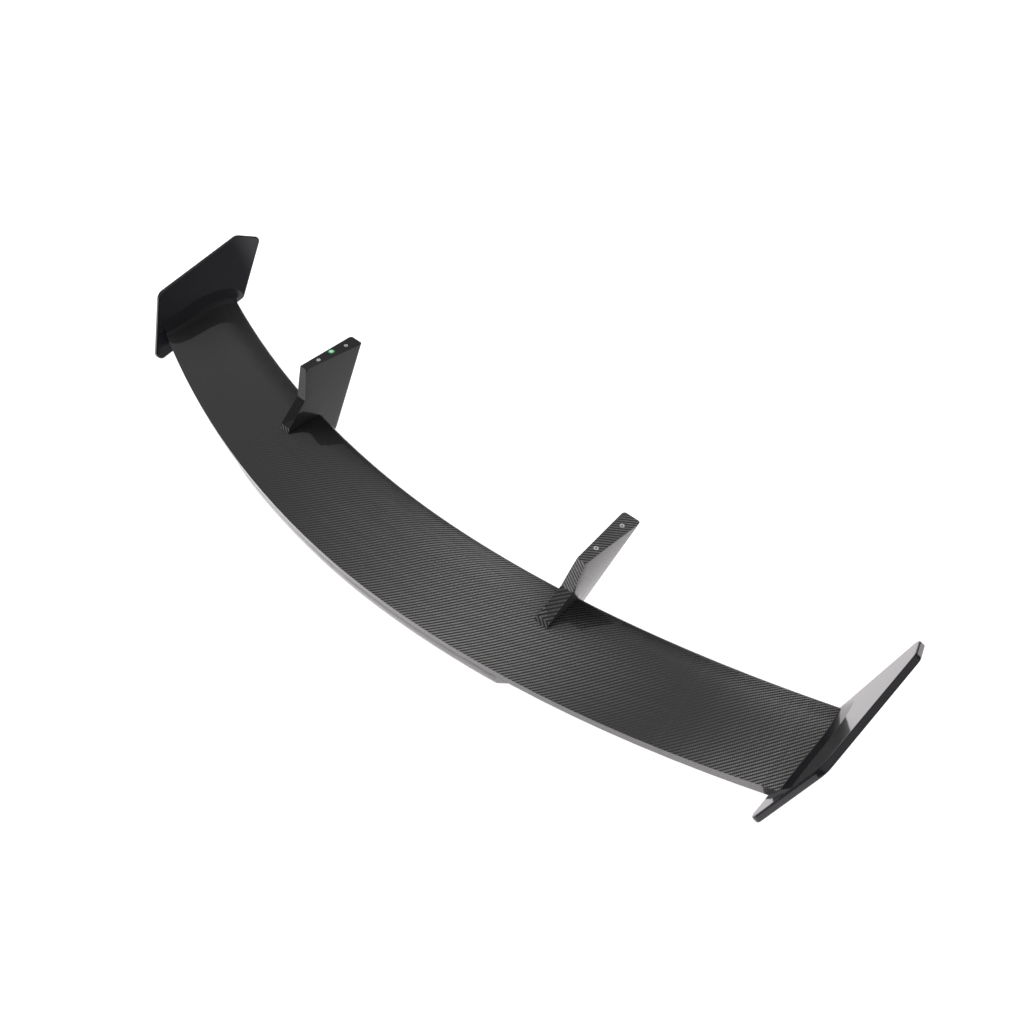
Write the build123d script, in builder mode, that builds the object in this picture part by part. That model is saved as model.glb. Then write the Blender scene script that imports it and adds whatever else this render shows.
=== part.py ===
"""Rear wing: arched cambered blade, two canted end plates and two mounting legs.

Millimetres. +Z is up and the leading edge faces -Y. The legs stand on z = 0, and the
origin is on the centre plane, level with the front pair of mounting inserts.
"""
import math
import os

from build123d import *

os.makedirs("parts", exist_ok=True)

# Blade plan: both edges arch forwards from the centre to the tips
HALF_SPAN = 675.0
ARCH_POWER = 1.9
LEAD_Y = 106.0
LEAD_ARCH = 124.0
TRAIL_Y = 275.0
TRAIL_ARCH = 133.0

# Blade height: the tips hang lower than the centre
LEAD_Z = 100.0
LEAD_DROP = 14.0
TRAIL_Z = 117.0
TRAIL_DROP = 30.5

# Blade profile: (fraction of chord, distance from the chord line)
UNDERSIDE = (
    (0.012, 2.6),
    (0.06, 5.6),
    (0.18, 9.6),
    (0.35, 11.2),
    (0.55, 7.8),
    (0.75, 2.6),
    (0.9, 0.4),
)
TOP_SIDE = ((0.85, 8.6), (0.65, 6.8), (0.38, 7.2), (0.18, 6.4), (0.06, 4.4), (0.012, 2.3))
TAIL_HEIGHT = 14.0
TAIL_GROWTH = 8.0
TAIL_LEAN = 0.15
SKIN = 1.6
SKIN_JOINT = 5.0
KICK_INSET = 1.8
STATIONS = (-690, -600, -490, -370, -250, -125, 0, 125, 250, 370, 490, 600, 690)

# Inside the blade
FRONT_SPAR_AT = 0.27
REAR_SPAR_AT = 0.70
SPAR = 3.0
LEG_RIB_X = 292.0
LEG_RIB = 6.0
END_RIB = 8.0
RIB_BOND = 0.5
BAND_BOTTOM = 40.0
BAND_HEIGHT = 120.0

# Raised lip along the middle of the trailing edge
LIP_HALF = 290.0
LIP_RAMP = 20.0
LIP_TOP = 35.0
LIP_DEPTH = 38.0
LIP_LAND = 3.5
LIP_TUCK = 2.5
LIP_LEDGE = 0.3
LIP_STATIONS = (-290, -200, -100, 0, 100, 200, 290)

# End plates: corners as (rearwards, up along the plate), clockwise from low front
PLATE_X = 697.7
PLATE_CANT = 17.8
PLATE = 10.0
PLATE_EDGE = 2.5
LOW_FRONT = (-115.7, -2.3)
TOP_FRONT = (-35.1, 94.0)
TOP_REAR = (185.0, 141.2)
LOW_REAR = (125.2, 23.4)
LOW_MIDDLE = (-67.8, -22.3)
PLATE_CORNERS = (LOW_FRONT, TOP_FRONT, TOP_REAR, LOW_REAR, LOW_MIDDLE)
CORNER_RADII = (8.0, 14.0, 10.0, 24.0, 18.0)
PAD = 3.0
PAD_FLARE = 26.0
PAD_LAND = 1.5
PAD_ROOT = 1.0
SCREW_AT = (0.32, 0.56)
SCREW_RISE = 2.2
SCREW_RADIUS = 2.5
SCREW_HEAD_RADIUS = 4.8
SCREW_HEAD = 2.6
SCREW_SHANK = 20.0
SOCKET_RADIUS = 1.7
SOCKET_DEPTH = 2.0

# Legs: a wedge in plan, wide at the nose and narrow at the back
LEG_X = 301.0
LEG_LEAN = 0.11
LEG_NOSE_Y = -25.0
LEG_NOSE_SLOPE = 0.562
LEG_NOSE_HALF = 15.6
LEG_NOSE_HALF_TOP = 5.5
LEG_BACK_Y = 92.5
LEG_BACK_Y_TOP = 205.0
LEG_BACK_HALF = 7.6
LEG_BACK_HALF_TOP = 13.5
LEG_TOP = 150.0
LEG_NOSE_ROUND = 5.0
LEG_KINK = (109.0, 52.5)
LEG_HEEL = (151.0, 87.0)
LEG_TOE = (159.0, 99.0)
LEG_HOOK = ((150.0, 112.0), (110.0, 128.0), (76.0, 143.0), (62.0, 143.0), (50.0, 134.0))
LEG_WALL = 2.2
LEG_FACE_WALL = 3.0
LEG_BLOCK_TOP = 28.0
LEG_CORE_TOP = 82.0

# Threaded inserts in each leg's mounting face
INSERT_Y = (0.0, 60.0)
INSERT_RADIUS = 3.5
INSERT_LENGTH = 14.0
THREAD_RADIUS = 2.1
THREAD_DEPTH = 12.5

# Round inspection sticker, flush in a shallow pocket of the left leg's mounting face
DOT_X = -305.0
DOT_Y = 29.0
DOT_RADIUS = 6.0
DOT = 0.12


def leading_edge(x):
    """Return (y, z) of the leading edge at span position x."""
    share = abs(x) / HALF_SPAN
    return LEAD_Y - LEAD_ARCH * share**ARCH_POWER, LEAD_Z - LEAD_DROP * share**2


def trailing_edge(x):
    """Return (y, z) of the lower corner of the trailing edge at span position x."""
    share = abs(x) / HALF_SPAN
    return TRAIL_Y - TRAIL_ARCH * share**ARCH_POWER, TRAIL_Z - TRAIL_DROP * share**2.4


def tail_height(x):
    """Return the height of the trailing edge's rear face at span position x."""
    return TAIL_HEIGHT + TAIL_GROWTH * (abs(x) / HALF_SPAN) ** 3


def chord_point(x, fraction, rise=0.0):
    """Return (y, z) a fraction of the way along the chord, raised by rise."""
    lead_y, lead_z = leading_edge(x)
    trail_y, trail_z = trailing_edge(x)
    y = lead_y + fraction * (trail_y - lead_y)
    z = lead_z + fraction * (trail_z - lead_z)
    return y, z + rise


def span_plane(x):
    """Return the plane across the span at x, with its sketch x along +Y."""
    return Plane(origin=(x, 0, 0), x_dir=(0, 1, 0), z_dir=(1, 0, 0))


def profile_points(x):
    """Return the blade's outline at x, from the tail over the top to the underside."""
    lead_y, lead_z = leading_edge(x)
    trail_y, trail_z = trailing_edge(x)
    high = tail_height(x)
    outline = [(trail_y - TAIL_LEAN * high, trail_z + high)]
    outline += [chord_point(x, fraction, height) for fraction, height in TOP_SIDE]
    outline.append((lead_y, lead_z))
    outline += [chord_point(x, fraction, -depth) for fraction, depth in UNDERSIDE]
    outline.append((trail_y, trail_z))
    return outline


def moved_in(outline, inset):
    """Return an outline with every point moved into the blade by inset."""
    moved = [(outline[0][0] - inset, outline[0][1] - KICK_INSET * inset)]
    for before, here, after in zip(outline, outline[1:], outline[2:]):
        run_y = after[0] - before[0]
        run_z = after[1] - before[1]
        reach = inset / math.hypot(run_y, run_z)
        moved.append((here[0] - reach * run_z, here[1] + reach * run_y))
    moved.append((outline[-1][0] - inset, outline[-1][1] + inset))
    return moved


def blade_volume(inset):
    """Return the blade's full-length volume, with its surface moved in by inset."""
    with BuildPart() as volume:
        for x in STATIONS:
            outline = moved_in(profile_points(x), inset)
            with BuildSketch(span_plane(x)):
                with BuildLine():
                    Spline(*outline)
                    Line(outline[-1], outline[0])
                make_face()
        loft()
    return volume.part


def end_plane(side, inwards=0.0):
    """Return an end plate's inner face plane, moved towards the blade by inwards."""
    cant = math.radians(PLATE_CANT)
    outward = (side * math.cos(cant), 0, math.sin(cant))
    face = Plane(origin=(side * PLATE_X, 0, 0), x_dir=(0, side, 0), z_dir=outward)
    return face.offset(-inwards)


def trimmed(volume, inwards):
    """Return a blade volume cut off beside both end plates."""
    with BuildPart() as cut:
        add(volume)
        split(bisect_by=end_plane(1, inwards), keep=Keep.BOTTOM)
        split(bisect_by=end_plane(-1, inwards), keep=Keep.BOTTOM)
    return cut.part


def plan_band(front, front_shift, rear, rear_shift):
    """Return a tall prism between two chord fractions, each shifted along y."""
    front_curve = [(x, chord_point(x, front)[0] + front_shift) for x in STATIONS]
    rear_curve = [(x, chord_point(x, rear)[0] + rear_shift) for x in STATIONS]
    with BuildPart() as band:
        with BuildSketch(Plane.XY.offset(BAND_BOTTOM)):
            with BuildLine():
                near = Spline(*front_curve)
                far = Spline(*rear_curve)
                Line(near @ 0, far @ 0)
                Line(near @ 1, far @ 1)
            make_face()
        extrude(amount=BAND_HEIGHT)
    return band.part


outer = trimmed(blade_volume(0.0), PAD)
inner = trimmed(blade_volume(SKIN), PAD)
core = trimmed(blade_volume(SKIN), PAD + END_RIB)

# Everything below the joint between the two skins
with BuildPart() as below_joint:
    for x in STATIONS:
        front_y, front_z = chord_point(x, 0.0)
        back_y, back_z = chord_point(x, 1.0, SKIN_JOINT)
        with BuildSketch(span_plane(x)):
            with BuildLine():
                Polyline(
                    (front_y - 9, front_z),
                    (back_y + 9, back_z),
                    (back_y + 9, back_z - 60),
                    (front_y - 9, front_z - 60),
                    close=True,
                )
            make_face()
    loft()

with BuildPart() as lower_skin:
    add(outer)
    add(inner, mode=Mode.SUBTRACT)
    add(below_joint.part, mode=Mode.INTERSECT)

with BuildPart() as upper_skin:
    add(outer)
    add(inner, mode=Mode.SUBTRACT)
    add(below_joint.part, mode=Mode.SUBTRACT)

with BuildPart() as front_spar:
    add(core)
    add(plan_band(FRONT_SPAR_AT, 0, FRONT_SPAR_AT, SPAR), mode=Mode.INTERSECT)

with BuildPart() as rear_spar:
    add(core)
    add(plan_band(REAR_SPAR_AT, 0, REAR_SPAR_AT, SPAR), mode=Mode.INTERSECT)

with BuildPart() as nose_core:
    add(core)
    add(plan_band(0, -30, FRONT_SPAR_AT, 0), mode=Mode.INTERSECT)

with BuildPart() as tail_core:
    add(core)
    add(plan_band(REAR_SPAR_AT, SPAR, 1, 30), mode=Mode.INTERSECT)

with BuildPart() as box_volume:
    add(core)
    add(plan_band(FRONT_SPAR_AT, SPAR, REAR_SPAR_AT, 0), mode=Mode.INTERSECT)

with BuildPart() as leg_rib_right:
    add(box_volume.part)
    with Locations((LEG_RIB_X, 150, 100)):
        Box(LEG_RIB, 400, 200, mode=Mode.INTERSECT)

with BuildPart() as box_core_centre:
    add(box_volume.part)
    with Locations((0, 150, 100)):
        Box(2 * LEG_RIB_X - LEG_RIB, 400, 200, mode=Mode.INTERSECT)

with BuildPart() as box_core_right:
    add(box_volume.part)
    split(bisect_by=Plane.YZ.offset(LEG_RIB_X + LEG_RIB / 2), keep=Keep.TOP)


def rib_outline(inwards):
    """Return an end rib's outline, ahead of the tail, on a plane inwards of the plate."""
    cant = math.radians(PLATE_CANT)
    face_x = PLATE_X - inwards / math.cos(cant)
    inset = SKIN + RIB_BOND
    level = leading_edge(HALF_SPAN)[1]
    outline = moved_in(profile_points(face_x - level * math.tan(cant)), inset)
    points = []
    for index, (_, height) in enumerate(outline):
        here = moved_in(profile_points(face_x - height * math.tan(cant)), inset)[index]
        points.append((here[0], (here[1] + inwards * math.sin(cant)) / math.cos(cant)))
    return points[2:]


# End rib: a plate with straight flats between the skins, held off them by the bond
with BuildPart() as end_rib_blank:
    for inwards in (PAD, PAD + END_RIB):
        with BuildSketch(end_plane(1, inwards)):
            with BuildLine():
                Polyline(*rib_outline(inwards), close=True)
            make_face()
    loft(ruled=True)


def lip_points(x, top):
    """Return the lip's outline at x: tucked under edge, ledge, back, land, curved front."""
    back_y, back_z = trailing_edge(x)
    front_y = back_y - LIP_DEPTH
    ledge_rise = tail_height(x) + LIP_LEDGE
    low = (back_y - LIP_TUCK, back_z + 6)
    ledge = (back_y - ledge_rise * TAIL_LEAN, back_z + ledge_rise)
    high = (back_y - top * TAIL_LEAN, back_z + top)
    land = (back_y - top * TAIL_LEAN - LIP_LAND, back_z + top)
    middle = (back_y - 0.5 * LIP_DEPTH, back_z + 8 + 0.26 * (top - 8))
    front = (front_y, back_z + 3.5)
    return low, ledge, high, land, middle, front


def lip_length(stations, tops):
    """Return a length of lip lofted through the given stations and top heights."""
    with BuildPart() as length:
        for x, top in zip(stations, tops):
            low, ledge, high, land, middle, front = lip_points(x, top)
            with BuildSketch(span_plane(x)):
                with BuildLine():
                    Polyline(front, low, ledge, high, land)
                    Spline(land, middle, front)
                make_face()
        loft(ruled=len(stations) == 2)
    return length.part


ramp_ends = (LIP_HALF, LIP_HALF + LIP_RAMP)
ramp_tops = (LIP_TOP, tail_height(LIP_HALF) + 1.0)

# Middle lip, standing on the top skin with its back flush with the trailing edge
with BuildPart() as centre_lip:
    add(lip_length(LIP_STATIONS, [LIP_TOP] * len(LIP_STATIONS)))
    add(lip_length(ramp_ends, ramp_tops))
    mirror(lip_length(ramp_ends, ramp_tops), about=Plane.YZ)
    add(outer, mode=Mode.SUBTRACT)


def canted(point):
    """Return a (y, z) blade point as a point of the end plate's sketch plane."""
    y, z = point
    return y, z / math.cos(math.radians(PLATE_CANT))


def pad_outline(grow):
    """Return the blade's end profile on the plate's plane, grown outwards."""
    points = moved_in([canted(point) for point in profile_points(HALF_SPAN - 4)], -grow)
    with BuildSketch() as outline:
        with BuildLine():
            Spline(*points)
            Line(points[-1], points[0])
        make_face()
    return outline.sketch


def screw_spots():
    """Return the sketch positions of the two screws that hold an end plate."""
    spots = []
    for fraction in SCREW_AT:
        spots.append(canted(chord_point(HALF_SPAN - 8, fraction, SCREW_RISE)))
    return spots


# Low root pad sloping from the plate to the blade, kept inside the plate's edge
with BuildPart() as pad:
    with BuildSketch(end_plane(1, -PAD_ROOT)):
        add(pad_outline(PAD_FLARE))
    with BuildSketch(end_plane(1, PAD)):
        add(pad_outline(PAD_LAND))
    loft(ruled=True)

with BuildPart() as plate_blank:
    with BuildSketch(end_plane(1)) as plate_outline:
        with BuildLine():
            Polyline(*PLATE_CORNERS, close=True)
        make_face()
        for corner, radius in zip(PLATE_CORNERS, CORNER_RADII):
            nearest = plate_outline.vertices().sort_by_distance(Vector(*corner, 0))
            fillet(nearest[0], radius)
    extrude(amount=PLATE)
    fillet(plate_blank.faces().filter_by(end_plane(1)).edges(), PLATE_EDGE)

with BuildPart() as pad_limit:
    with BuildSketch(end_plane(1, PAD)):
        with BuildLine():
            Polyline(*PLATE_CORNERS, close=True)
        make_face()
        offset(amount=-PLATE_EDGE, kind=Kind.INTERSECTION)
    extrude(amount=PAD + PAD_ROOT)

with BuildPart() as pad_trimmed:
    add(pad.part)
    add(pad_limit.part, mode=Mode.INTERSECT)
    split(bisect_by=Plane.XZ.offset(-trailing_edge(HALF_SPAN)[0] - PAD_LAND), keep=Keep.TOP)

with BuildPart() as screw_envelope:
    with Locations(end_plane(1)):
        with Locations([(y, s, PLATE) for y, s in screw_spots()]):
            Cylinder(
                SCREW_RADIUS,
                SCREW_SHANK,
                align=(Align.CENTER, Align.CENTER, Align.MAX),
            )
            Cone(
                SCREW_RADIUS,
                SCREW_HEAD_RADIUS,
                SCREW_HEAD,
                align=(Align.CENTER, Align.CENTER, Align.MAX),
            )

with BuildPart() as end_plate_right:
    add(plate_blank.part)
    add(pad_trimmed.part)
    add(screw_envelope.part, mode=Mode.SUBTRACT)

with BuildPart() as end_rib_right:
    add(end_rib_blank.part)
    add(screw_envelope.part, mode=Mode.SUBTRACT)

with BuildPart() as end_plate_screws_right:
    add(screw_envelope.part)
    with BuildSketch(end_plane(1, -PLATE)):
        with Locations(*screw_spots()):
            RegularPolygon(SOCKET_RADIUS, 6)
    extrude(amount=-SOCKET_DEPTH, mode=Mode.SUBTRACT)


def leg_middle(z):
    """Return the x of a leg's centre line at height z."""
    return LEG_X - LEG_LEAN * z


def leg_wedge(inset):
    """Return the leaning wedge that bounds a right leg's nose and sides."""
    heights = (0.0, LEG_TOP)
    nose_half = (LEG_NOSE_HALF, LEG_NOSE_HALF_TOP)
    back_half = (LEG_BACK_HALF, LEG_BACK_HALF_TOP)
    back_y = (LEG_BACK_Y, LEG_BACK_Y_TOP)
    with BuildPart() as wedge:
        for z, nose, back, rear in zip(heights, nose_half, back_half, back_y):
            middle = leg_middle(z)
            front = LEG_NOSE_Y + LEG_NOSE_SLOPE * z + inset
            with BuildSketch(Plane.XY.offset(z)):
                with BuildLine():
                    Polyline(
                        (middle - nose + inset, front),
                        (middle + nose - inset, front),
                        (middle + back - inset, rear),
                        (middle - back + inset, rear),
                        close=True,
                    )
                make_face()
        loft(ruled=True)
        nose_edges = wedge.edges().filter_by(Axis.Z, reverse=True).sort_by(Axis.Y)
        rising = [e for e in nose_edges if e.bounding_box().size.Z > LEG_TOP / 2]
        fillet(rising[:2], LEG_NOSE_ROUND - inset)
    return wedge.part


def leg_volume(inset):
    """Return a right leg's volume, side profile and wedge both moved in by inset."""
    with BuildPart() as volume:
        add(leg_wedge(inset))
        with BuildSketch(Plane.YZ.offset(leg_middle(0) - 80)):
            with BuildLine():
                Polyline(
                    (-70, 0),
                    (LEG_BACK_Y, 0),
                    LEG_KINK,
                    LEG_HEEL,
                    LEG_TOE,
                    *LEG_HOOK,
                    (-70, LEG_HOOK[-1][1]),
                    close=True,
                )
            make_face()
            if inset:
                offset(amount=-inset, kind=Kind.INTERSECTION)
        extrude(amount=160, mode=Mode.INTERSECT)
    return volume.part


with BuildPart() as leg_blank:
    add(leg_volume(0.0))
    add(outer, mode=Mode.SUBTRACT)

with BuildPart() as leg_hollow:
    add(leg_volume(LEG_WALL))
    split(bisect_by=Plane.XY.offset(LEG_FACE_WALL), keep=Keep.TOP)
    split(bisect_by=Plane.XY.offset(LEG_CORE_TOP), keep=Keep.BOTTOM)

with BuildPart() as insert_envelope:
    with Locations([(leg_middle(0), y, 0) for y in INSERT_Y]):
        Cylinder(
            INSERT_RADIUS,
            INSERT_LENGTH,
            align=(Align.CENTER, Align.CENTER, Align.MIN),
        )

with BuildPart() as leg_right:
    add(leg_blank.part)
    add(leg_hollow.part, mode=Mode.SUBTRACT)
    add(insert_envelope.part, mode=Mode.SUBTRACT)

with BuildPart() as leg_block_right:
    add(leg_hollow.part)
    split(bisect_by=Plane.XY.offset(LEG_BLOCK_TOP), keep=Keep.BOTTOM)
    add(insert_envelope.part, mode=Mode.SUBTRACT)

with BuildPart() as leg_core_right:
    add(leg_hollow.part)
    split(bisect_by=Plane.XY.offset(LEG_BLOCK_TOP), keep=Keep.TOP)

with BuildPart() as leg_inserts_right:
    add(insert_envelope.part)
    with Locations([(leg_middle(0), y, 0) for y in INSERT_Y]):
        Cylinder(
            THREAD_RADIUS,
            THREAD_DEPTH,
            align=(Align.CENTER, Align.CENTER, Align.MIN),
            mode=Mode.SUBTRACT,
        )

with BuildPart() as inspection_dot:
    with Locations((DOT_X, DOT_Y, 0)):
        Cylinder(DOT_RADIUS, DOT, align=(Align.CENTER, Align.CENTER, Align.MIN))

# Left-hand pieces mirror the right-hand ones
with BuildPart() as leg_rib_left:
    mirror(leg_rib_right.part, about=Plane.YZ)

with BuildPart() as box_core_left:
    mirror(box_core_right.part, about=Plane.YZ)

with BuildPart() as end_rib_left:
    mirror(end_rib_right.part, about=Plane.YZ)

with BuildPart() as end_plate_left:
    mirror(end_plate_right.part, about=Plane.YZ)

with BuildPart() as end_plate_screws_left:
    mirror(end_plate_screws_right.part, about=Plane.YZ)

with BuildPart() as leg_left:
    mirror(leg_right.part, about=Plane.YZ)
    add(inspection_dot.part, mode=Mode.SUBTRACT)

with BuildPart() as leg_block_left:
    mirror(leg_block_right.part, about=Plane.YZ)

with BuildPart() as leg_core_left:
    mirror(leg_core_right.part, about=Plane.YZ)

with BuildPart() as leg_inserts_left:
    mirror(leg_inserts_right.part, about=Plane.YZ)

pieces = {
    "lower_skin": lower_skin,
    "upper_skin": upper_skin,
    "front_spar": front_spar,
    "rear_spar": rear_spar,
    "nose_core": nose_core,
    "tail_core": tail_core,
    "box_core_centre": box_core_centre,
    "box_core_left": box_core_left,
    "box_core_right": box_core_right,
    "leg_rib_left": leg_rib_left,
    "leg_rib_right": leg_rib_right,
    "end_rib_left": end_rib_left,
    "end_rib_right": end_rib_right,
    "centre_lip": centre_lip,
    "end_plate_left": end_plate_left,
    "end_plate_right": end_plate_right,
    "end_plate_screws_left": end_plate_screws_left,
    "end_plate_screws_right": end_plate_screws_right,
    "leg_left": leg_left,
    "leg_right": leg_right,
    "leg_core_left": leg_core_left,
    "leg_core_right": leg_core_right,
    "leg_block_left": leg_block_left,
    "leg_block_right": leg_block_right,
    "leg_inserts_left": leg_inserts_left,
    "leg_inserts_right": leg_inserts_right,
    "inspection_dot": inspection_dot,
}

for name, piece in pieces.items():
    piece.part.label = name
    export_step(piece.part, f"parts/{name}.step")
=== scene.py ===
"""Looks for the carbon rear wing: weave, gloss, fixings, floors, soft light and camera."""
import math

import bpy
import bmesh
from mathutils import Matrix, Vector


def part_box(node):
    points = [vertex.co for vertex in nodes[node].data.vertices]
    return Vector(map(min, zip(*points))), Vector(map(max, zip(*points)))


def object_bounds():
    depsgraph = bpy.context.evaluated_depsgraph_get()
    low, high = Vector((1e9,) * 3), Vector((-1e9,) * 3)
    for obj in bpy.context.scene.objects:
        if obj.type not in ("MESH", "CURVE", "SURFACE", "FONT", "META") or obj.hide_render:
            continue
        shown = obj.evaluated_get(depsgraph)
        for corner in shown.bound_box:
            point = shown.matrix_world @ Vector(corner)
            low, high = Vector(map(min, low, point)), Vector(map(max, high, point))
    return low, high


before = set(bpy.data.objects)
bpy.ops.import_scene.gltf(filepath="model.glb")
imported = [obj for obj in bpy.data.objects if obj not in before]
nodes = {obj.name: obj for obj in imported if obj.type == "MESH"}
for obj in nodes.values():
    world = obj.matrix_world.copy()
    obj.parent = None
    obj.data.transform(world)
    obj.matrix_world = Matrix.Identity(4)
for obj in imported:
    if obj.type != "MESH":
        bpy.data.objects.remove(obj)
cad_low, cad_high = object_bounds()
scene = bpy.context.scene

# cloth, lengths in metres
TOW = 0.00164
TOW_CROWN = 2.6
FIBRES_ACROSS = 14.0
FIBRES_ALONG = 0.35
SKIN_CLOTH_TURN = math.radians(-4.3)
LEG_CLOTH_TURN = math.radians(8)
WANDER_SIZE = 7.0
WANDER_U = 0.003
WANDER_V = 0.002
# the blade's cloth follows its arch: how far the tips sweep back, and how fast
ARCH = 0.129
ARCH_POWER = 1.9
# painted sheen of the tows, put into the cloth colour: where each lobe peaks and how wide it is, as
# cosines
LIGHT_SHIFT = (-0.2, 0.1, 0.0)
WEFT_PEAK, WEFT_SPREAD = 0.08, 0.085
WARP_PEAK, WARP_SPREAD, WARP_GAIN = -0.17, 0.08, 1.3
WARP_FACE_SPREAD, WARP_FACE_GAIN = 0.14, 0.22
LEG_SIDE_SHEEN_LOSS = 0.8
LEG_BACK_SHEEN_GAIN = 1.7
# how far away a piece can be and still darken what the blade mirrors
MIRROR_REACH = 0.16
MIRROR_FLOOR = 0.2
# clear coats and sky
CLEAR_INDEX = 1.5
SKY_GLOW = 1.2
UNDER_GLOW = 0.5
NADIR_GLOW = 0.09
FILL_GLOW = 0.55
# finest grain of metal, foam and film, in cells per metre
FINE_GRAIN = 900.0
# stage planes: half their side, and how far they stand off the wing
STAGE_HALF = 14.0
FLOOR_GAP = 0.001
BACKDROP_GAP = 0.012
# rounded edges of the moulded pieces, and the joins closed up before rounding
ROUNDED = {"leg_left": 0.0008, "leg_right": 0.0008, "centre_lip": 0.0005}
WELD_REACH = 0.00002
SHARP_ANGLE = math.radians(38)


# ---------------------------------------------------------------- node helpers
class Graph:
    """The node tree of a material or world, with short calls for the nodes used here."""

    def __init__(self, owner):
        self.owner = owner
        self.owner.use_nodes = True
        self.tree = self.owner.node_tree
        self.tree.nodes.clear()

    def node(self, kind, inputs=None, **settings):
        made = self.tree.nodes.new("ShaderNode" + kind)
        for key, value in settings.items():
            setattr(made, key, value)
        for key, value in (inputs or {}).items():
            if isinstance(value, bpy.types.NodeSocket):
                self.tree.links.new(value, made.inputs[key])
            else:
                made.inputs[key].default_value = value
        return made

    def math(self, operation, a, b=0.0):
        return self.node("Math", {0: a, 1: b}, operation=operation).outputs[0]

    def scaled(self, vector, factor):
        return self.node("VectorMath", {0: vector, 3: factor}, operation="SCALE").outputs[0]

    def vector(self, operation, a, b=(0, 0, 0)):
        made = self.node("VectorMath", {0: a, 1: b}, operation=operation)
        return made.outputs[1 if operation in ("DOT_PRODUCT", "LENGTH") else 0]

    def ramp(self, value, low, high, to_low=0.0, to_high=1.0):
        made = self.node(
            "MapRange",
            {
                "Value": value,
                "From Min": low,
                "From Max": high,
                "To Min": to_low,
                "To Max": to_high,
            },
            interpolation_type="SMOOTHSTEP",
        )
        return made.outputs[0]

    def mix(self, share, a, b):
        made = self.node("Mix", data_type="RGBA")
        for index, value in ((0, share), (6, a), (7, b)):
            if isinstance(value, bpy.types.NodeSocket):
                self.tree.links.new(value, made.inputs[index])
            elif isinstance(value, tuple):
                made.inputs[index].default_value = (*value, 1)
            else:
                made.inputs[index].default_value = value
        return made.outputs[2]

    def noise(self, vector, scale, detail=2.0, roughness=0.5):
        made = self.node(
            "TexNoise",
            {"Vector": vector, "Scale": scale, "Detail": detail, "Roughness": roughness},
        )
        return made.outputs[0]

    def surface(self, inputs):
        shader = self.node("BsdfPrincipled", inputs)
        self.node("OutputMaterial", {"Surface": shader.outputs[0]})
        return self.owner

    def place(self):
        return self.node("TexCoord").outputs["Object"]


def flat_pair(g, turn=0.0, arched=False, back_mirrored=False):
    """Return (u, v, weft way, warp way, side mask, back mask) on the plane a surface faces."""
    place = g.node("SeparateXYZ", {0: g.place()})
    normal = g.node("NewGeometry").outputs["True Normal"]
    facing = g.node("SeparateXYZ", {0: g.vector("ABSOLUTE", normal)})
    x, y, z = place.outputs
    along_x, along_y, along_z = facing.outputs
    side = g.math("GREATER_THAN", along_x, g.math("MAXIMUM", along_y, along_z))
    back = g.math("GREATER_THAN", along_y, g.math("MAXIMUM", along_x, along_z))
    not_side = g.math("SUBTRACT", 1.0, side)
    u = g.math("ADD", g.math("MULTIPLY", side, y), g.math("MULTIPLY", not_side, x))
    flat = g.math("MULTIPLY", not_side, g.math("SUBTRACT", 1.0, back))
    not_flat = g.math("SUBTRACT", 1.0, flat)
    v = g.math("ADD", g.math("MULTIPLY", flat, y), g.math("MULTIPLY", not_flat, z))
    if back_mirrored:
        u = g.math("MULTIPLY", u, g.math("SUBTRACT", 1.0, g.math("MULTIPLY", back, 2.0)))
    if arched:
        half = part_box("lower_skin")[1][0]
        share = g.math("DIVIDE", g.math("ABSOLUTE", x), half)
        rise = g.math("MULTIPLY", g.math("POWER", share, ARCH_POWER), ARCH)
        v = g.math("ADD", v, rise)
    cos, sin = math.cos(turn), math.sin(turn)
    u, v = (
        g.math("ADD", g.math("MULTIPLY", u, cos), g.math("MULTIPLY", v, sin)),
        g.math("SUBTRACT", g.math("MULTIPLY", v, cos), g.math("MULTIPLY", u, sin)),
    )
    ways = []
    for first, second in ((cos, sin), (-sin, cos)):
        across = g.math("MULTIPLY", not_side, first)
        along = g.math("ADD", g.math("MULTIPLY", side, first), g.math("MULTIPLY", flat, second))
        upward = g.math("MULTIPLY", not_flat, second)
        ways.append(g.node("CombineXYZ", {0: across, 1: along, 2: upward}).outputs[0])
    return u, v, ways[0], ways[1], side, back


def half_way(g):
    """Return the direction midway between the viewer and a soft light held over the surface, used
    for the painted sheen.
    """
    geometry = g.node("NewGeometry")
    light = g.vector("NORMALIZE", g.vector("ADD", geometry.outputs["Normal"], LIGHT_SHIFT))
    return g.vector("NORMALIZE", g.vector("ADD", light, geometry.outputs["Incoming"]))


def open_view(g):
    """Return how much of what the surface mirrors is open, MIRROR_FLOOR where a near piece fills it.

    This darkens the cloth's own colour, as a stand-in for the soft reflection of that piece.
    """
    geometry = g.node("NewGeometry")
    normal, incoming = geometry.outputs["Normal"], geometry.outputs["Incoming"]
    twice = g.math("MULTIPLY", g.vector("DOT_PRODUCT", normal, incoming), 2.0)
    mirrored = g.vector("SUBTRACT", g.scaled(normal, twice), incoming)
    seen = g.node("AmbientOcclusion", {"Distance": MIRROR_REACH, "Normal": mirrored}, samples=6)
    return g.ramp(seen.outputs["AO"], 0.50, 0.80, MIRROR_FLOOR, 1.0)


def lobe(g, value, centre, spread):
    """Return 1 where value is at centre, falling away smoothly over spread."""
    off = g.math("DIVIDE", g.math("SUBTRACT", value, centre), spread)
    return g.math("EXPONENT", g.math("MULTIPLY", g.math("MULTIPLY", off, off), -1.0))


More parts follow.
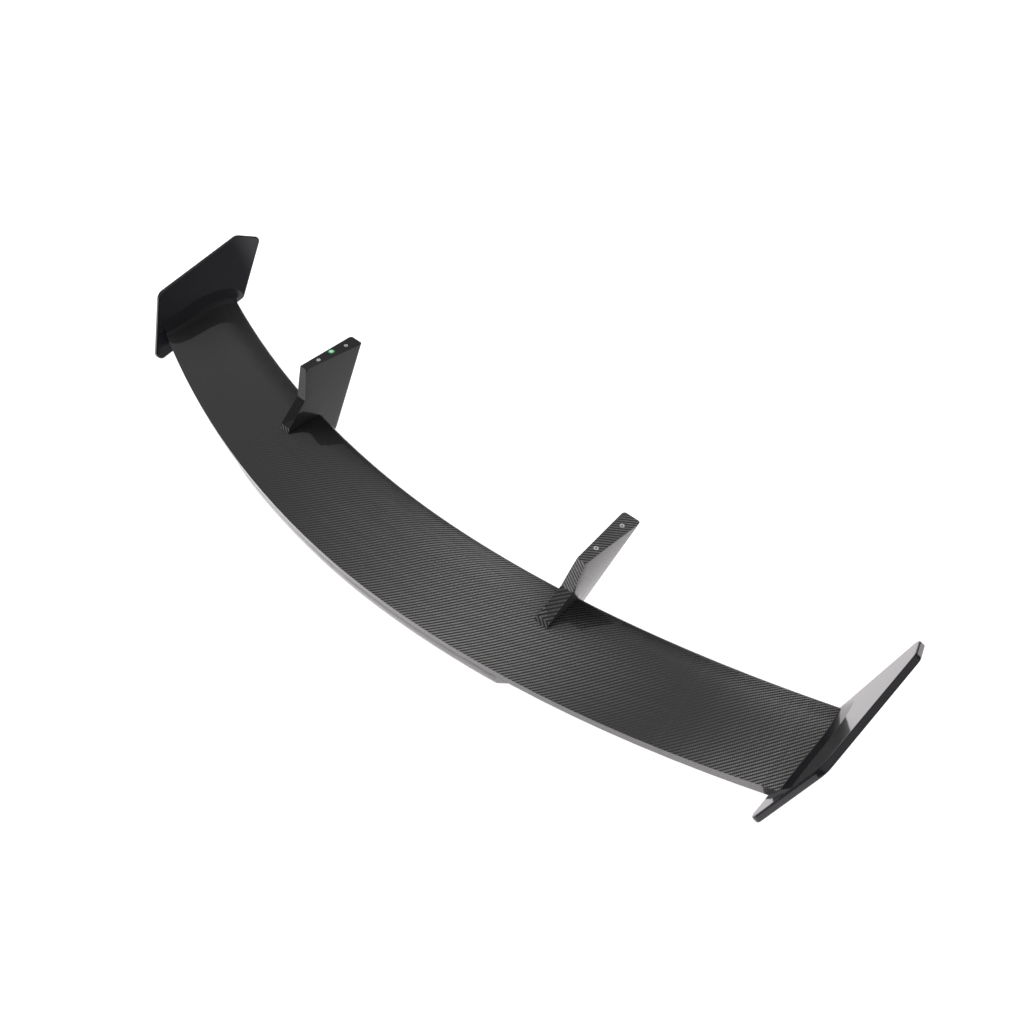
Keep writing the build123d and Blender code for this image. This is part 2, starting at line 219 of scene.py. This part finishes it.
def twill(g, u, v):
    """Return (warp mask, height, per-tow random, fibre streaks) of a 2 x 2 twill."""
    u = g.math("DIVIDE", u, TOW)
    v = g.math("DIVIDE", v, TOW)
    column = g.math("FLOOR", u)
    row = g.math("FLOOR", v)
    across_u = g.math("SUBTRACT", g.math("SUBTRACT", u, column), 0.5)
    across_v = g.math("SUBTRACT", g.math("SUBTRACT", v, row), 0.5)
    warp_at = g.math("ADD", column, g.math("SUBTRACT", v, 1.0))
    weft_at = g.math("ADD", g.math("SUBTRACT", u, 1.0), row)
    warp_rise = g.math("COSINE", g.math("MULTIPLY", warp_at, math.pi / 2))
    weft_wave = g.math("COSINE", g.math("MULTIPLY", weft_at, math.pi / 2))
    weft_rise = g.math("MULTIPLY", weft_wave, -1.0)
    square_u = g.math("MULTIPLY", across_u, across_u)
    square_v = g.math("MULTIPLY", across_v, across_v)
    crown_u = g.math("SUBTRACT", 1.0, g.math("MULTIPLY", square_u, TOW_CROWN))
    crown_v = g.math("SUBTRACT", 1.0, g.math("MULTIPLY", square_v, TOW_CROWN))
    warp_high = g.math("ADD", warp_rise, g.math("MULTIPLY", crown_u, 0.9))
    weft_high = g.math("ADD", weft_rise, g.math("MULTIPLY", crown_v, 0.9))
    mask = g.math("GREATER_THAN", warp_high, weft_high)
    height = g.math("MAXIMUM", warp_high, weft_high)
    warp_id = g.math("MULTIPLY", mask, column)
    weft_id = g.math("MULTIPLY", g.math("SUBTRACT", 1.0, mask), row)
    tow_id = g.node("CombineXYZ", {0: warp_id, 1: weft_id, 2: mask}).outputs[0]
    draw = g.node("TexWhiteNoise", {"Vector": tow_id}, noise_dimensions="3D")
    chance = draw.outputs["Value"]
    place = g.node("CombineXYZ", {0: u, 1: v}).outputs[0]
    warp_fibre = g.vector("MULTIPLY", place, (FIBRES_ACROSS, FIBRES_ALONG, 0.0))
    weft_fibre = g.vector("MULTIPLY", place, (FIBRES_ALONG, FIBRES_ACROSS, 0.0))
    fibres = g.node("Mix", {0: mask, 4: weft_fibre, 5: warp_fibre}, data_type="VECTOR")
    streaks = g.noise(fibres.outputs[1], 1.0, 2.0, 0.6)
    return mask, height, chance, streaks


def carbon(name, base, gleam, turn=0.0, arched=False, coat=1.0, rough=0.4, rim=0.11, leg=False):
    """Return clear-coated 2 x 2 twill carbon, whose tows vary one by one, with a sheen by direction
    painted into its colour.

    base is the dark grey of the cloth, gleam the strength of its painted highlight and rim the
    painted sheen it gains at shallow angles. arched bends the cloth along the blade, and leg sets
    the legs' own painted sheen.
    """
    g = Graph(bpy.data.materials.new(name))
    u, v, weft_way, warp_way, side, back = flat_pair(g, turn, arched, leg)
    # the cloth never lies perfectly square, so let the tows wander a little
    drift = g.math("SUBTRACT", g.noise(g.place(), WANDER_SIZE, 1.0), 0.5)
    u = g.math("ADD", u, g.math("MULTIPLY", drift, WANDER_U))
    v = g.math("ADD", v, g.math("MULTIPLY", drift, WANDER_V))
    mask, height, chance, streaks = twill(g, u, v)
    half = half_way(g)
    along_weft = g.vector("DOT_PRODUCT", weft_way, half)
    along_warp = g.vector("DOT_PRODUCT", warp_way, half)
    weft_gleam = lobe(g, along_weft, WEFT_PEAK, WEFT_SPREAD)
    warp_side = g.math("MULTIPLY", lobe(g, along_weft, WARP_PEAK, WARP_SPREAD), WARP_GAIN)
    warp_face = g.math("MULTIPLY", lobe(g, along_warp, 0.0, WARP_FACE_SPREAD), WARP_FACE_GAIN)
    warp_gleam = g.math("ADD", warp_side, warp_face)
    painted_sheen = g.node("Mix", {0: mask, 2: weft_gleam, 3: warp_gleam}).outputs[0]
    vary = g.math("ADD", g.math("MULTIPLY", chance, 0.35), g.math("MULTIPLY", streaks, 0.9))
    painted_sheen = g.math("MULTIPLY", painted_sheen, g.math("ADD", vary, 0.38))
    painted_sheen = g.math("MULTIPLY", painted_sheen, g.ramp(height, 0.35, 1.1, 0.3, 1.0))
    if leg:
        # painted sheen: weaker on the sides than on the mounting face, and stronger on the back
        # faces
        side_share = g.math("SUBTRACT", 1.0, g.math("MULTIPLY", side, LEG_SIDE_SHEEN_LOSS))
        share = g.math("ADD", side_share, g.math("MULTIPLY", back, LEG_BACK_SHEEN_GAIN))
        painted_sheen = g.math("MULTIPLY", painted_sheen, share)
    # away from the painted sheen the cloth is an even dark grey, with a painted sheen that lifts it
    # at shallow angles
    geometry = g.node("NewGeometry")
    facing = g.vector("DOT_PRODUCT", geometry.outputs["Normal"], geometry.outputs["Incoming"])
    edge = g.math("SUBTRACT", 1.0, facing)
    grey_and_edge_sheen = g.math("ADD", g.math("MULTIPLY", g.math("MULTIPLY", edge, edge), rim), base)
    grey_and_edge_sheen = g.math("MULTIPLY", grey_and_edge_sheen, g.math("ADD", g.math("MULTIPLY", streaks, 0.3), 0.85))
    if arched:
        # painted shade where a near piece fills what the blade mirrors, taken off both the sheen and
        # the grey
        open_share = open_view(g)
        painted_sheen = g.math("MULTIPLY", painted_sheen, open_share)
        grey_and_edge_sheen = g.math("MULTIPLY", grey_and_edge_sheen, open_share)
    # the painted sheen, in a warm white, added to the cloth colour
    lit = g.scaled((1.0, 0.985, 0.955), g.math("MULTIPLY", painted_sheen, gleam))
    tint = g.vector("ADD", lit, g.scaled((0.97, 0.97, 1.03), grey_and_edge_sheen))
    weave_bump = g.node("Bump", {"Strength": 0.3, "Distance": 0.0004, "Height": height})
    fine_bump = g.node(
        "Bump",
        {"Strength": 0.12, "Distance": 0.0002, "Height": streaks, "Normal": weave_bump.outputs[0]},
    )
    # faint orange peel and a few polishing marks in the lacquer
    peel = g.noise(g.place(), 260.0, 2.0)
    peel_bump = g.node("Bump", {"Strength": 0.05, "Distance": 0.0002, "Height": peel})
    haze = g.ramp(g.noise(g.place(), 18.0, 4.0), 0.45, 0.75, 0.03, 0.08)
    return g.surface(
        {
            "Base Color": tint,
            "Roughness": rough,
            "Specular IOR Level": 0.12,
            "Normal": fine_bump.outputs[0],
            "Coat Weight": coat,
            "Coat Roughness": haze,
            "Coat IOR": CLEAR_INDEX,
            "Coat Normal": peel_bump.outputs[0],
        }
    )


def gloss_plate(name):
    """Return gloss black over a weave that only just shows, with light scuffs in the lacquer."""
    g = Graph(bpy.data.materials.new(name))
    u, v = flat_pair(g)[:2]
    mask, height, _, streaks = twill(g, u, v)
    tone = g.mix(mask, (0.004, 0.004, 0.0065), (0.0065, 0.0065, 0.0095))
    vary = g.math("ADD", 0.6, g.math("MULTIPLY", streaks, 0.8))
    tone = g.scaled(tone, vary)
    bump = g.node("Bump", {"Strength": 0.08, "Distance": 0.0002, "Height": height})
    peel = g.noise(g.place(), 180.0, 2.0)
    peel_bump = g.node("Bump", {"Strength": 0.06, "Distance": 0.0002, "Height": peel})
    scuff = g.ramp(g.noise(g.place(), 35.0, 5.0, 0.7), 0.55, 0.8, 0.03, 0.11)
    return g.surface(
        {
            "Base Color": tone,
            "Roughness": 0.3,
            "Specular IOR Level": 0.25,
            "Normal": bump.outputs[0],
            "Coat Weight": 1.0,
            "Coat Roughness": scuff,
            "Coat IOR": CLEAR_INDEX,
            "Coat Normal": peel_bump.outputs[0],
        }
    )


def metal(name, tone, rough, metallic=1.0):
    """Return turned or plated metal with fine machining lines and light tarnish."""
    g = Graph(bpy.data.materials.new(name))
    stretched = g.vector("MULTIPLY", g.place(), (1.0, 1.0, 6.0))
    lines = g.noise(stretched, FINE_GRAIN, 2.0)
    stain = g.noise(g.place(), 60.0, 3.0)
    dull = tuple(0.72 * c for c in tone)
    shade = g.mix(g.ramp(stain, 0.35, 0.7), tone, dull)
    bump = g.node("Bump", {"Strength": 0.2, "Distance": 0.0001, "Height": lines})
    return g.surface(
        {
            "Base Color": shade,
            "Metallic": metallic,
            "Roughness": g.ramp(lines, 0.3, 0.7, rough, rough + 0.15),
            "Normal": bump.outputs[0],
        }
    )


def foam(name):
    """Return closed-cell foam with small round cells and patchy colour."""
    g = Graph(bpy.data.materials.new(name))
    cells = g.node("TexVoronoi", {"Vector": g.place(), "Scale": FINE_GRAIN}).outputs[0]
    patch = g.noise(g.place(), 25.0, 3.0)
    shade = g.mix(patch, (0.72, 0.64, 0.45), (0.85, 0.79, 0.62))
    bump = g.node("Bump", {"Strength": 0.5, "Distance": 0.0004, "Height": cells})
    return g.surface({"Base Color": shade, "Roughness": 0.9, "Normal": bump.outputs[0]})


def sticker(name, node):
    """Return printed green film with a pale middle, a painted highlight, inside a green rim, and a
    slight grain.
    """
    g = Graph(bpy.data.materials.new(name))
    low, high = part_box(node)
    middle = tuple((a + b) / 2 for a, b in zip(low, high))
    radius = (high[0] - low[0]) / 2
    away = g.vector("LENGTH", g.vector("SUBTRACT", g.place(), middle))
    grain = g.noise(g.place(), FINE_GRAIN, 3.0)
    green = g.mix(grain, (0.008, 0.24, 0.07), (0.02, 0.36, 0.11))
    # the pale middle is a painted highlight, the green rim is the film's own colour
    shade = g.mix(g.ramp(away, 0.5 * radius, 0.72 * radius), (0.62, 0.86, 0.66), green)
    bump = g.node("Bump", {"Strength": 0.15, "Distance": 0.0001, "Height": grain})
    return g.surface({"Base Color": shade, "Roughness": 0.42, "Normal": bump.outputs[0]})


skin_mat = carbon("skin_twill", 0.010, 0.205, SKIN_CLOTH_TURN, arched=True)
leg_mat = carbon("leg_twill", 0.012, 0.16, LEG_CLOTH_TURN, coat=0.72, rim=0.03, leg=True)
lip_mat = carbon("lip_twill", 0.014, 0.17, SKIN_CLOTH_TURN, arched=True)
raw_mat = carbon("raw_laminate", 0.03, 0.05, coat=0.0, rough=0.6)
plate_mat = gloss_plate("plate_gloss")
steel_mat = metal("plated_steel", (0.80, 0.79, 0.76), 0.18)
insert_mat = metal("insert_steel", (0.90, 0.89, 0.87), 0.22, metallic=0.4)
alloy_mat = metal("machined_alloy", (0.83, 0.84, 0.86), 0.28)
foam_mat = foam("core_foam")
sticker_mat = sticker("green_film", "inspection_dot")

looks = {
    "lower_skin": skin_mat,
    "upper_skin": skin_mat,
    "centre_lip": lip_mat,
    "leg_left": leg_mat,
    "leg_right": leg_mat,
    "end_plate_left": plate_mat,
    "end_plate_right": plate_mat,
    "front_spar": raw_mat,
    "rear_spar": raw_mat,
    "leg_rib_left": raw_mat,
    "leg_rib_right": raw_mat,
    "end_rib_left": alloy_mat,
    "end_rib_right": alloy_mat,
    "leg_block_left": alloy_mat,
    "leg_block_right": alloy_mat,
    "leg_inserts_left": insert_mat,
    "leg_inserts_right": insert_mat,
    "end_plate_screws_left": steel_mat,
    "end_plate_screws_right": steel_mat,
    "inspection_dot": sticker_mat,
}
for name, node in nodes.items():
    material = looks.get(name, foam_mat)
    node.data.materials.clear()
    node.data.materials.append(material)

# ---------------------------------------------------------------- edge rounding
for name, width in ROUNDED.items():
    weld = nodes[name].modifiers.new("weld", "WELD")
    weld.merge_threshold = WELD_REACH
    bevel = nodes[name].modifiers.new("bevel", "BEVEL")
    bevel.width = width
    bevel.segments = 3
    bevel.limit_method = "ANGLE"
    bevel.angle_limit = SHARP_ANGLE


# ---------------------------------------------------------------- floors and light
def stage_plane(name, height, facing, glow, tint):
    """Add a pale plane that shows only from the side it faces and takes soft shadows."""
    mesh = bpy.data.meshes.new(name)
    bm = bmesh.new()
    signs = [(-1, -1), (1, -1), (1, 1), (-1, 1)]
    corners = [(STAGE_HALF * x, STAGE_HALF * y) for x, y in signs]
    if facing < 0:
        corners.reverse()
    bm.faces.new([bm.verts.new((x, y, height)) for x, y in corners])
    bm.to_mesh(mesh)
    bm.free()
    plane = bpy.data.objects.new(name, mesh)
    scene.collection.objects.link(plane)
    plane.visible_shadow = False
    plane.visible_diffuse = False
    plane.visible_glossy = False
    plane.visible_transmission = False
    g = Graph(bpy.data.materials.new(name + "_paper"))
    grain = g.noise(g.place(), 3.0, 3.0)
    shade = g.mix(grain, (0.86, 0.86, 0.865), (0.89, 0.89, 0.89))
    diffuse = g.node("BsdfDiffuse", {"Color": shade, "Roughness": 0.3})
    glow = g.node("Emission", {"Color": (*tint, 1), "Strength": glow})
    lit = g.node("AddShader", {0: diffuse.outputs[0], 1: glow.outputs[0]})
    clear = g.node("BsdfTransparent")
    behind = g.node("NewGeometry").outputs["Backfacing"]
    both = g.node("MixShader", {0: behind, 1: lit.outputs[0], 2: clear.outputs[0]})
    g.node("OutputMaterial", {"Surface": both.outputs[0]})
    mesh.materials.append(g.owner)


stage_plane("floor_below", cad_low[2] - FLOOR_GAP, 1, 0.4, (1, 1, 1))
stage_plane("backdrop_above", cad_high[2] + BACKDROP_GAP, -1, 0.74, (1, 0.97, 0.962))


def softbox(name, location, target, size, power):
    """Add a square area light aimed at a point, unseen in reflections."""
    data = bpy.data.lights.new(name, "AREA")
    data.shape = "SQUARE"
    data.size = size
    data.energy = power
    light = bpy.data.objects.new(name, data)
    light.location = location
    aim = Vector(target) - Vector(location)
    light.rotation_mode = "QUATERNION"
    light.rotation_quaternion = aim.to_track_quat("-Z", "Y")
    light.visible_glossy = False
    scene.collection.objects.link(light)


centre = (Vector(cad_low) + Vector(cad_high)) / 2
softbox("key_below", (0.7, 1.7, -2.3), centre, 1.8, 26)
softbox("fill_below", (-1.6, -0.6, -2.0), centre, 1.5, 8)
softbox("key_above", (1.2, -1.6, 2.4), centre, 1.8, 34)
softbox("fill_above", (-1.6, 1.4, 2.0), centre, 1.8, 18)


def world_nodes():
    """Make the world white to the camera, bright above and dim below in gloss, and a soft fill."""
    scene.world = bpy.data.worlds.new("studio")
    g = Graph(scene.world)
    way = g.node("TexCoord").outputs["Generated"]
    x, y, up = g.node("SeparateXYZ", {0: way}).outputs
    bearing = g.math("ARCTAN2", y, x)
    above = g.ramp(up, -0.02, 0.12, 0.0, 1.0)
    below = g.ramp(up, -0.70, -0.50, UNDER_GLOW, NADIR_GLOW)
    panel_start = g.ramp(bearing, -1.6, -1.2)
    panel_end = g.ramp(bearing, -0.475, -0.445, 1.0, 0.0)
    panel = g.math("MULTIPLY", panel_end, panel_start)
    near = g.math("MULTIPLY", panel, g.ramp(up, -0.2, -0.12))
    dim = g.math("MULTIPLY", g.math("SUBTRACT", 1.0, above), g.math("MAXIMUM", below, near))
    mirrored = g.math("ADD", g.math("MULTIPLY", above, SKY_GLOW), dim)
    path = g.node("LightPath")
    mirror = g.node("Background", {"Color": (1.0, 0.965, 0.985, 1), "Strength": mirrored})
    fill = g.node("Background", {"Color": (0.98, 0.985, 1, 1), "Strength": FILL_GLOW})
    white = g.node("Background", {"Color": (1, 1, 1, 1), "Strength": 1.0})
    glossy, direct = path.outputs["Is Glossy Ray"], path.outputs["Is Camera Ray"]
    seen = g.node("MixShader", {0: glossy, 1: fill.outputs[0], 2: mirror.outputs[0]})
    final = g.node("MixShader", {0: direct, 1: seen.outputs[0], 2: white.outputs[0]})
    g.node("OutputWorld", {"Surface": final.outputs[0]})


world_nodes()

# ---------------------------------------------------------------- camera
CAMERA_AT = (0.70395, 0.74682, -0.87995)
LENS = 29.88
RIGHT = Vector((0.7397, -0.6709, -0.0522)).normalized()
DOWN = Vector((0.5122, 0.511, 0.6903)).normalized()
BACK = RIGHT.cross(-DOWN).normalized()
camera_data = bpy.data.cameras.new("camera")
camera_data.lens = LENS
camera_data.sensor_width = 36.0
camera_data.clip_start = 0.01
camera_data.clip_end = 60.0
camera = bpy.data.objects.new("camera", camera_data)
UP = BACK.cross(RIGHT)
camera.matrix_world = Matrix(
    (
        (RIGHT.x, UP.x, BACK.x, CAMERA_AT[0]),
        (RIGHT.y, UP.y, BACK.y, CAMERA_AT[1]),
        (RIGHT.z, UP.z, BACK.z, CAMERA_AT[2]),
        (0, 0, 0, 1),
    )
)
scene.collection.objects.link(camera)
scene.camera = camera
scene.view_settings.view_transform = "Standard"
scene.view_settings.look = "None"
